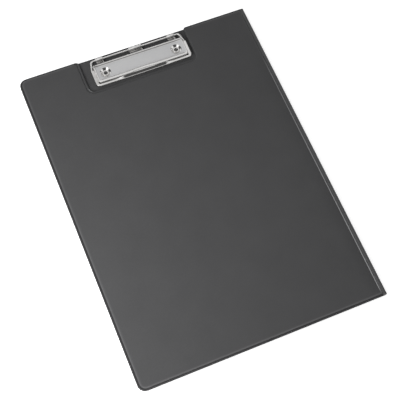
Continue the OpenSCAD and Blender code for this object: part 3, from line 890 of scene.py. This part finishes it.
WELD_SHADE, HIGHLIGHT_GAIN = 0.42, 3.6  # colour gains of the weld line, its own darker tone with painted shade, and of the painted highlight, against plain film
FILM_BLACK = ((0.046, 0.046, 0.047), (0.054, 0.054, 0.055))
POCKET_BLACK = ((0.02, 0.02, 0.021), (0.028, 0.028, 0.03))
NOISE_SPAN = (0.3, 0.7)  # where most values of a noise lie


def math_node(tree, operation, a, b):
    """A sum or the like of two sockets or numbers."""
    node = tree.nodes.new("ShaderNodeMath")
    node.operation = operation
    for socket, value in zip(node.inputs, (a, b)):
        if isinstance(value, (int, float)):
            socket.default_value = value
        else:
            tree.links.new(value, socket)
    return node.outputs["Value"]


def range_node(tree, value, span, to, interpolation="LINEAR"):
    """value from span spread over to."""
    node = tree.nodes.new("ShaderNodeMapRange")
    node.interpolation_type = interpolation
    for key, number in zip(("From Min", "From Max", "To Min", "To Max"), (*span, *to)):
        node.inputs[key].default_value = number
    tree.links.new(value, node.inputs["Value"])
    return node.outputs["Result"]


class Shader:
    """A node material whose textures follow the object's own coordinates, in metres."""

    def __init__(self, name, metallic, roughness, specular=0.5):
        self.material = bpy.data.materials.new(name)
        self.material.use_nodes = True
        self.tree = self.material.node_tree
        self.nodes = self.tree.nodes
        self.bsdf = self.nodes["Principled BSDF"]
        self.bsdf.inputs["Metallic"].default_value = metallic
        self.bsdf.inputs["Roughness"].default_value = roughness
        self.bsdf.inputs["Specular IOR Level"].default_value = specular
        self.coordinates = self.nodes.new("ShaderNodeTexCoord").outputs["Object"]

    def link(self, a, b):
        self.tree.links.new(a, b)

    def stretch(self, scale):
        node = self.nodes.new("ShaderNodeMapping")
        node.inputs["Scale"].default_value = scale
        self.link(self.coordinates, node.inputs["Vector"])
        return node.outputs["Vector"]

    def noise(self, scale, detail=3.0, rough=0.55, vector=None):
        node = self.nodes.new("ShaderNodeTexNoise")
        node.inputs["Scale"].default_value = scale
        node.inputs["Detail"].default_value = detail
        node.inputs["Roughness"].default_value = rough
        self.link(vector or self.coordinates, node.inputs["Vector"])
        return node.outputs["Fac"]

    def cells(self, scale):
        node = self.nodes.new("ShaderNodeTexVoronoi")
        node.inputs["Scale"].default_value = scale
        self.link(self.coordinates, node.inputs["Vector"])
        return node.outputs["Distance"]

    def mask(self, name):
        node = self.nodes.new("ShaderNodeAttribute")
        node.attribute_name = name
        return node.outputs["Fac"]

    def ramp(self, value, to, span=NOISE_SPAN):
        """value from span spread over two numbers."""
        return range_node(self.tree, value, span, to)

    def colours(self, value, pair, span=NOISE_SPAN):
        """value from span spread over two colours."""
        node = self.nodes.new("ShaderNodeValToRGB")
        for stop, position, colour in zip(node.color_ramp.elements, span, pair):
            stop.position = position
            stop.color = (*colour, 1)
        self.link(value, node.inputs["Fac"])
        return node.outputs["Color"]

    def mix(self, share, a, b):
        node = self.nodes.new("ShaderNodeMix")
        node.data_type = "RGBA"
        for key, value in (("Factor", share), ("A", a), ("B", b)):
            socket = [i for i in node.inputs if i.name == key and i.enabled][0]
            self.link(value, socket)
        return [o for o in node.outputs if o.enabled][0]

    def math(self, operation, a, b):
        return math_node(self.tree, operation, a, b)

    def bump(self, height, distance, strength):
        node = self.nodes.new("ShaderNodeBump")
        node.inputs["Distance"].default_value = distance
        node.inputs["Strength"].default_value = strength
        self.link(height, node.inputs["Height"])
        return node.outputs["Normal"]

    def feed(self, **sockets):
        for key, value in sockets.items():
            self.link(value, self.bsdf.inputs[key.replace("_", " ")])


def film_material(name, grain, black, rough, specular):
    """Black PVC film between two tones: fine leather-like emboss, faint mottling, darker and glossier
    where it is welded, the darkening partly painted shade, and lighter where a highlight is painted."""
    s = Shader(name, 0.0, 0.42, specular)
    mottle = s.noise(38, 4)
    speck = s.noise(900, 2)
    tone = s.math("ADD", s.math("MULTIPLY", mottle, 0.5), s.math("MULTIPLY", speck, 0.5))
    weld_and_shade = s.mask("rim")

    def shade(level):
        return s.colours(tone, [[c * level for c in colour] for colour in black])

    # colours: plain film, the weld's own darker tone with painted shade, and the painted highlight
    plain, pressed_and_shaded, highlighted = shade(1), shade(WELD_SHADE), shade(HIGHLIGHT_GAIN)
    s.feed(Base_Color=s.mix(weld_and_shade, s.mix(s.mask("painted_highlight"), plain, highlighted), pressed_and_shaded))
    gloss = s.ramp(s.noise(60, 3), rough)
    s.feed(Roughness=s.math("SUBTRACT", gloss, s.math("MULTIPLY", weld_and_shade, 0.12)))
    emboss = s.math("ADD", s.cells(1700), s.math("MULTIPLY", s.noise(1200, 2), 0.8))
    emboss = s.math("MULTIPLY", emboss, s.math("SUBTRACT", 1.0, s.math("MULTIPLY", weld_and_shade, 0.8)))
    s.feed(Normal=s.bump(emboss, 0.00003, grain))
    return s.material


def board_material():
    """Raw greyboard: grey-brown fibres and flecks."""
    s = Shader("greyboard", 0.0, 0.9, 0.3)
    fibres = s.noise(1, 5, 0.7, s.stretch((300, 1400, 900)))
    s.feed(Base_Color=s.colours(fibres, ((0.34, 0.31, 0.26), (0.50, 0.47, 0.41))))
    s.feed(Roughness=s.ramp(s.noise(500, 3), (0.8, 0.95)))
    s.feed(Normal=s.bump(fibres, 0.0001, 0.6))
    return s.material


def satin_material():
    """Nickel-plated sheet, brushed along the clip's length."""
    s = Shader("satin_nickel", 1.0, 0.36)
    brush = s.noise(1, 4, 0.6, s.stretch((60, 5200, 5200)))
    cloud = s.noise(45, 3)
    tone = s.math("ADD", s.math("MULTIPLY", brush, 0.6), s.math("MULTIPLY", cloud, 0.4))
    s.feed(Base_Color=s.colours(tone, ((0.61, 0.61, 0.62), (0.71, 0.71, 0.71))))
    s.feed(Roughness=s.ramp(brush, (0.34, 0.44)))
    s.feed(Normal=s.bump(brush, 0.00001, 0.5))
    return s.material


def nickel_material():
    """Polished nickel plating with fine rub marks."""
    s = Shader("polished_nickel", 1.0, 0.12)
    rub = s.noise(1, 5, 0.7, s.stretch((500, 1800, 1800)))
    haze = s.noise(260, 4)
    s.feed(Base_Color=s.colours(haze, ((0.74, 0.73, 0.72), (0.84, 0.83, 0.82)), (0.3, 0.75)))
    s.feed(Roughness=s.ramp(rub, (0.09, 0.2), (0.35, 0.75)))
    s.feed(Normal=s.bump(rub, 0.000006, 0.4))
    return s.material


MATERIAL = {
    "film": film_material("pvc_film_embossed", 0.5, FILM_BLACK, (0.42, 0.46), 0.12),
    "fold": film_material("pvc_film_folded", 0.3, FILM_BLACK, (0.25, 0.32), 0.45),
    "pocket": film_material("pvc_film_pocket", 0.25, POCKET_BLACK, (0.3, 0.38), 0.3),
    "board": board_material(),
    "satin": satin_material(),
    "nickel": nickel_material(),
}


def dress_cad_nodes():
    """The two cores stay as the frame has them, hidden between their films, and get greyboard."""
    for node in ("board_core", "front_core"):
        mesh = frame["nodes"][node].data
        mesh.materials.clear()
        mesh.materials.append(MATERIAL["board"])


# Set ------------------------------------------------------------------------------------------

FLOOR_Z = -3.4  # the cover folded right under the back reaches down to it
FLOOR_HALF, FLOOR_GREY, FLOOR_GLOW = 6.0, 0.86, 0.6  # metres, colour, and its glow as seen directly
BORE_SHADE_R = 8  # no glow this far round each eyelet, so that its bore looks dark
ROOM_LEVEL = 0.08
SOFTBOXES = [  # direction, cosines where it begins and is full, level
    ((-0.08, 0.27, 0.957), 0.58, 0.9, 0.8),
    ((-0.1, 0.05, 0.99), 0.93, 0.985, 1.15),
    ((-0.6, -0.35, 0.72), 0.88, 0.95, 0.9),
    ((0.8, -0.38, 0.46), 0.92, 0.97, 0.95),
]
HORIZON_EDGE = (0.12, 0.3)  # sines where the white round the horizon ends
KEY_PLACE, KEY_SIDE, KEY_WATTS = (-0.36, -0.12, 0.28), 0.25, 3.1
GLINT_PLACE, GLINT_SIDE, GLINT_WATTS = (-0.323, -0.095, 0.323), 0.14, 0.17


def seen_directly(tree):
    """1 for a ray from the camera or off a mirror or glass, 0 for light on matt surfaces."""
    path = tree.nodes.new("ShaderNodeLightPath")
    total = path.outputs["Is Camera Ray"]
    for key in ("Is Glossy Ray", "Is Transmission Ray"):
        total = math_node(tree, "MAXIMUM", total, path.outputs[key])
    return total


def world():
    """A dim studio with soft boxes overhead and to both sides, white round the horizon."""
    w = bpy.data.worlds.new("studio")
    bpy.context.scene.world = w
    w.use_nodes = True
    tree = w.node_tree
    tree.nodes.clear()
    direction = tree.nodes.new("ShaderNodeTexCoord").outputs["Generated"]
    axes = tree.nodes.new("ShaderNodeSeparateXYZ")
    tree.links.new(direction, axes.inputs["Vector"])
    total = range_node(tree, axes.outputs["Z"], HORIZON_EDGE, (1.0, ROOM_LEVEL), "SMOOTHSTEP")
    for box_to, low, high, strength in SOFTBOXES:
        toward = tree.nodes.new("ShaderNodeVectorMath")
        toward.operation = "DOT_PRODUCT"
        toward.inputs[1].default_value = Vector(box_to).normalized()
        tree.links.new(direction, toward.inputs[0])
        levels = (ROOM_LEVEL, strength)
        box = range_node(tree, toward.outputs["Value"], (low, high), levels, "SMOOTHSTEP")
        total = math_node(tree, "MAXIMUM", total, box)
    light, out = tree.nodes.new("ShaderNodeBackground"), tree.nodes.new("ShaderNodeOutputWorld")
    light.inputs["Color"].default_value = (1, 1, 1, 1)
    tree.links.new(total, light.inputs["Strength"])
    tree.links.new(light.outputs["Background"], out.inputs["Surface"])


def floor():
    """A pale matt floor that looks white where no shadow falls on it."""
    mesh = bpy.data.meshes.new("floor")
    size = FLOOR_HALF
    corners = [(-size, -size), (size, -size), (size, size), (-size, size)]
    mesh.from_pydata([(x, y, FLOOR_Z * MM) for x, y in corners], [], [(0, 1, 2, 3)])
    new_object("floor", mesh)
    m = bpy.data.materials.new("pale_floor")
    m.use_nodes = True
    tree = m.node_tree
    nodes, links = tree.nodes, tree.links
    bsdf = nodes["Principled BSDF"]
    bsdf.inputs["Base Color"].default_value = (FLOOR_GREY, FLOOR_GREY, FLOOR_GREY, 1)
    bsdf.inputs["Roughness"].default_value = 0.9
    bsdf.inputs["Specular IOR Level"].default_value = 0.0
    mirrored, distance = nodes.new("ShaderNodeVectorMath"), nodes.new("ShaderNodeVectorMath")
    mirrored.operation, distance.operation = "ABSOLUTE", "DISTANCE"
    distance.inputs[1].default_value = Vector((EYELET_X, EYELET_Y, -FLOOR_Z)) * MM
    links.new(nodes.new("ShaderNodeTexCoord").outputs["Object"], mirrored.inputs[0])
    links.new(mirrored.outputs["Vector"], distance.inputs[0])
    around = math_node(tree, "GREATER_THAN", distance.outputs["Value"], BORE_SHADE_R * MM)
    level = math_node(tree, "MULTIPLY", seen_directly(tree), FLOOR_GLOW)
    glow, add = nodes.new("ShaderNodeEmission"), nodes.new("ShaderNodeAddShader")
    links.new(math_node(tree, "MULTIPLY", level, around), glow.inputs["Strength"])
    links.new(bsdf.outputs["BSDF"], add.inputs[0])
    links.new(glow.outputs["Emission"], add.inputs[1])
    links.new(add.outputs["Shader"], nodes["Material Output"].inputs["Surface"])
    mesh.materials.append(m)


def soft_light(name, position, side, watts, in_mirrors):
    """Square lamp that faces the object. Out of mirrors, it gives no glare on the metal."""
    data = bpy.data.lights.new(name, "AREA")
    data.shape = "SQUARE"
    data.size = side
    data.energy = watts
    obj = new_object(name, data)
    obj.location = position
    obj.rotation_euler = (-Vector(position)).to_track_quat("-Z", "Y").to_euler()
    obj.visible_glossy = in_mirrors


def camera():
    """The photograph's view: where it stands, the way it faces and its focal length."""
    place_mm = Vector((-172.416, -311.485, 804.409))
    ahead = Vector((0.19500, 0.33965, -0.92011)).normalized()
    up = Vector((0.33614, 0.85817, 0.38802))
    right = ahead.cross(up).normalized()
    up = right.cross(ahead)
    data = bpy.data.cameras.new("camera")
    data.sensor_width = 36
    data.lens = 85.643
    data.clip_start, data.clip_end = 0.01, 50
    obj = new_object("camera", data)
    turn = Matrix((right, up, -ahead)).transposed()
    obj.matrix_world = Matrix.Translation(place_mm * MM) @ turn.to_4x4()
    bpy.context.scene.camera = obj


camera()
world()
floor()
soft_light("key", KEY_PLACE, KEY_SIDE, KEY_WATTS, False)
soft_light("key_glint", GLINT_PLACE, GLINT_SIDE, GLINT_WATTS, True)
bpy.context.scene.view_settings.view_transform = "Standard"

dress_cad_nodes()
back_board()
cover_board()
spine()
pocket()
clip_plate()
eyelets()
spring_wire()
jaw()
